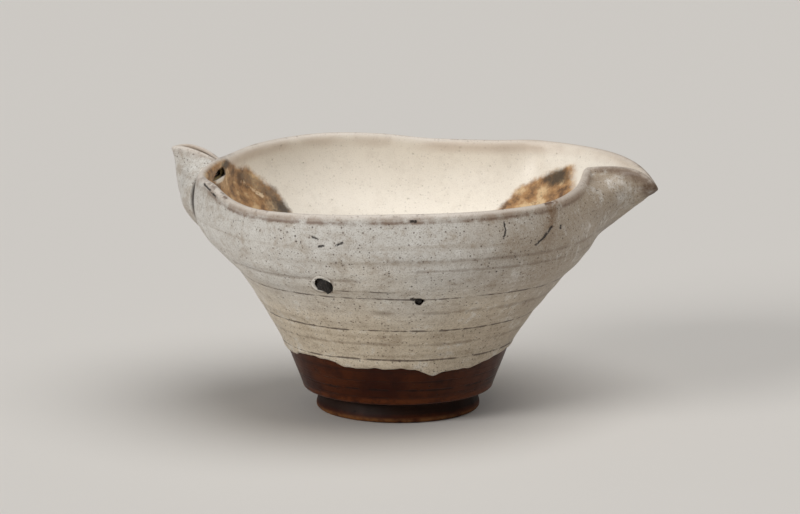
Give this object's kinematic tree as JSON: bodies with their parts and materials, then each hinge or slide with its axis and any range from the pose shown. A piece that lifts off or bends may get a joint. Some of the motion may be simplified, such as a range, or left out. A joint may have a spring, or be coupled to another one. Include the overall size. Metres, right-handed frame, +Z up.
{
  "type": "katakuchi sake pourer",
  "caption": "Slipped stoneware pouring bowl on a turned foot ring, with an open drawn-out lip at one end and a luted leaf-shaped spout over a pierced hole at the other.",
  "frame": {"origin": "middle of the foot ring's recess, on the plane the foot ring stands on", "axes": "+Z up, +X towards the open pouring lip, -X towards the luted spout, -Y towards the side the picture shows"},
  "size_m": [0.1712, 0.1427, 0.0887],
  "materials": {
    "clay": "glossy red-brown glazed clay",
    "slip": "soft-sheen white slip under clear glaze, speckled and stained brown",
    "stone": "rough dark stone"
  },
  "bodies": {
    "root": {"bowl": "clay", "foot_ring": "clay", "pouring_lip": "clay", "spout": "clay", "outside_slip": "slip", "inside_slip": "slip", "lip_slip": "slip", "spout_slip": "slip", "wall_stones": "stone"}
  },
  "joints": []
}
